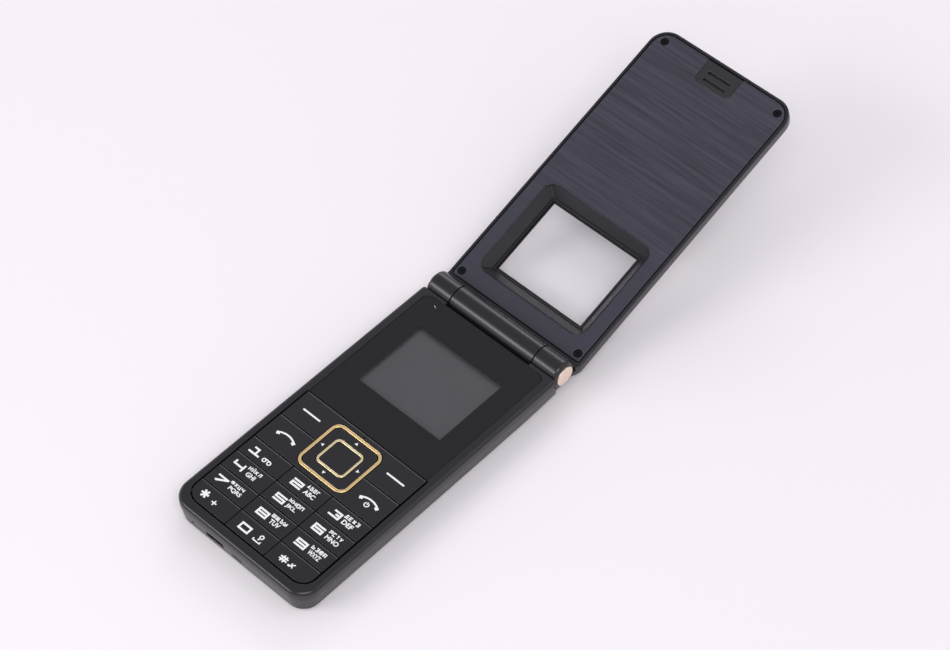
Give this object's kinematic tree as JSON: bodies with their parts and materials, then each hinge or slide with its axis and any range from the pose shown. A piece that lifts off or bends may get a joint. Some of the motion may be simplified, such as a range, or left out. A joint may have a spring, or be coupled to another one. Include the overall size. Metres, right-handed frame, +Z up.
{
  "type": "flip phone",
  "caption": "Clamshell mobile phone with large keys, a gold-framed navigation key and a clear window in its lid, shown open.",
  "frame": {"origin": "centre of the base's footprint, on the flat underside that the phone lies on", "axes": "+X to the right of the keypad, +Y from the keypad towards the lid, +Z up out of the keys"},
  "size_m": [0.0572, 0.2271, 0.0425],
  "materials": {
    "housing_black": "satin charcoal-black moulded plastic",
    "key_black": "satin black moulded plastic with printed legends",
    "screen_black": "glossy tinted acrylic",
    "display_grey": "display panel, switched off",
    "backlight_white": "white light guide",
    "panel_brushed": "dark blue-grey plastic with a finely brushed finish",
    "gold_trim": "polished gold-coloured metal",
    "steel": "plain steel",
    "screw_black": "blackened steel",
    "battery_film": "battery in a plain blue film",
    "board_green": "printed circuit board",
    "silicone": "dark grey silicone",
    "flex_amber": "amber polyimide flexible lead",
    "component_black": "moulded electronic component",
    "lamp_yellow": "lamp body with a pale yellow lens",
    "window_clear": "clear, slightly grey acrylic",
    "tape_black": "black adhesive film"
  },
  "bodies": {
    "base": {"front_housing": "housing_black", "rear_housing": "housing_black", "battery_cover": "housing_black", "battery": "battery_film", "battery_contacts": "gold_trim", "sim_holder": "steel", "main_board": "board_green", "shield_cans": "steel", "dome_sheet": "steel", "key_mat": "silicone", "screen_lens": "screen_black", "display_panel": "display_grey", "backlight": "backlight_white", "loudspeaker": "component_black", "microphone": "steel", "vibration_motor": "steel", "charging_socket": "steel", "antenna": "gold_trim", "camera_module": "component_black", "torch_lamp": "lamp_yellow", "camera_window": "screen_black", "housing_screws": "steel", "hinge_case": "steel", "hinge_slider": "steel", "hinge_spring": "steel", "hinge_bush": "steel", "hinge_caps": "gold_trim", "base_lead": "flex_amber", "nav_frame": "gold_trim"},
    "lid": {"lid_shell": "housing_black", "lid_panel": "panel_brushed", "window_pane": "window_clear", "window_tape": "tape_black", "earpiece": "component_black", "earpiece_mesh": "tape_black", "lid_magnet": "steel", "lid_screws": "screw_black", "lid_lead": "flex_amber", "hinge_cam": "steel"},
    "rocker_pad": {"nav_pad": "silicone"},
    "navigation_key": {"nav_key": "key_black"},
    "centre_key": {"ok_key": "key_black", "ok_frame": "gold_trim"},
    "softkey_left": {"softkey_left": "key_black"},
    "softkey_right": {"softkey_right": "key_black"},
    "call_key": {"call_key": "key_black"},
    "end_key": {"end_key": "key_black"},
    "key_1": {"key_1": "key_black"},
    "key_2": {"key_2": "key_black"},
    "key_3": {"key_3": "key_black"},
    "key_4": {"key_4": "key_black"},
    "key_5": {"key_5": "key_black"},
    "key_6": {"key_6": "key_black"},
    "key_7": {"key_7": "key_black"},
    "key_8": {"key_8": "key_black"},
    "key_9": {"key_9": "key_black"},
    "key_star": {"key_star": "key_black"},
    "key_0": {"key_0": "key_black"},
    "key_hash": {"key_hash": "key_black"}
  },
  "joints": [
    {"name": "lid_hinge", "type": "hinge", "parent": "base", "child": "lid", "pos_m": [0, 0.0554, 0.0078], "axis": [1, 0, 0], "range_deg": [0, 161]},
    {"name": "softkey_left_press", "type": "slide", "parent": "base", "child": "softkey_left", "axis": [0, 0, -1], "range_m": [0, 0.00035], "stiffness_N_per_m": 1500},
    {"name": "softkey_right_press", "type": "slide", "parent": "base", "child": "softkey_right", "axis": [0, 0, -1], "range_m": [0, 0.00035], "stiffness_N_per_m": 1500},
    {"name": "call_key_press", "type": "slide", "parent": "base", "child": "call_key", "axis": [0, 0, -1], "range_m": [0, 0.00035], "stiffness_N_per_m": 1500},
    {"name": "end_key_press", "type": "slide", "parent": "base", "child": "end_key", "axis": [0, 0, -1], "range_m": [0, 0.00035], "stiffness_N_per_m": 1500},
    {"name": "key_1_press", "type": "slide", "parent": "base", "child": "key_1", "axis": [0, 0, -1], "range_m": [0, 0.00035], "stiffness_N_per_m": 1500},
    {"name": "key_2_press", "type": "slide", "parent": "base", "child": "key_2", "axis": [0, 0, -1], "range_m": [0, 0.00035], "stiffness_N_per_m": 1500},
    {"name": "key_3_press", "type": "slide", "parent": "base", "child": "key_3", "axis": [0, 0, -1], "range_m": [0, 0.00035], "stiffness_N_per_m": 1500},
    {"name": "key_4_press", "type": "slide", "parent": "base", "child": "key_4", "axis": [0, 0, -1], "range_m": [0, 0.00035], "stiffness_N_per_m": 1500},
    {"name": "key_5_press", "type": "slide", "parent": "base", "child": "key_5", "axis": [0, 0, -1], "range_m": [0, 0.00035], "stiffness_N_per_m": 1500},
    {"name": "key_6_press", "type": "slide", "parent": "base", "child": "key_6", "axis": [0, 0, -1], "range_m": [0, 0.00035], "stiffness_N_per_m": 1500},
    {"name": "key_7_press", "type": "slide", "parent": "base", "child": "key_7", "axis": [0, 0, -1], "range_m": [0, 0.00035], "stiffness_N_per_m": 1500},
    {"name": "key_8_press", "type": "slide", "parent": "base", "child": "key_8", "axis": [0, 0, -1], "range_m": [0, 0.00035], "stiffness_N_per_m": 1500},
    {"name": "key_9_press", "type": "slide", "parent": "base", "child": "key_9", "axis": [0, 0, -1], "range_m": [0, 0.00035], "stiffness_N_per_m": 1500},
    {"name": "key_star_press", "type": "slide", "parent": "base", "child": "key_star", "axis": [0, 0, -1], "range_m": [0, 0.00035], "stiffness_N_per_m": 1500},
    {"name": "key_0_press", "type": "slide", "parent": "base", "child": "key_0", "axis": [0, 0, -1], "range_m": [0, 0.00035], "stiffness_N_per_m": 1500},
    {"name": "key_hash_press", "type": "slide", "parent": "base", "child": "key_hash", "axis": [0, 0, -1], "range_m": [0, 0.00035], "stiffness_N_per_m": 1500},
    {"name": "centre_key_press", "type": "slide", "parent": "base", "child": "centre_key", "axis": [0, 0, -1], "range_m": [0, 0.00035], "stiffness_N_per_m": 1500},
    {"name": "rocker_sideways", "type": "hinge", "parent": "base", "child": "rocker_pad", "pos_m": [0, -0.0159, 0.00825], "axis": [0, 1, 0], "range_deg": [-1.5, 1.5], "stiffness_Nm_per_rad": 0.3},
    {"name": "rocker_lengthways", "type": "hinge", "parent": "rocker_pad", "child": "navigation_key", "pos_m": [0, -0.0159, 0.009], "axis": [1, 0, 0], "range_deg": [-1.5, 1.5], "stiffness_Nm_per_rad": 0.3}
  ]
}
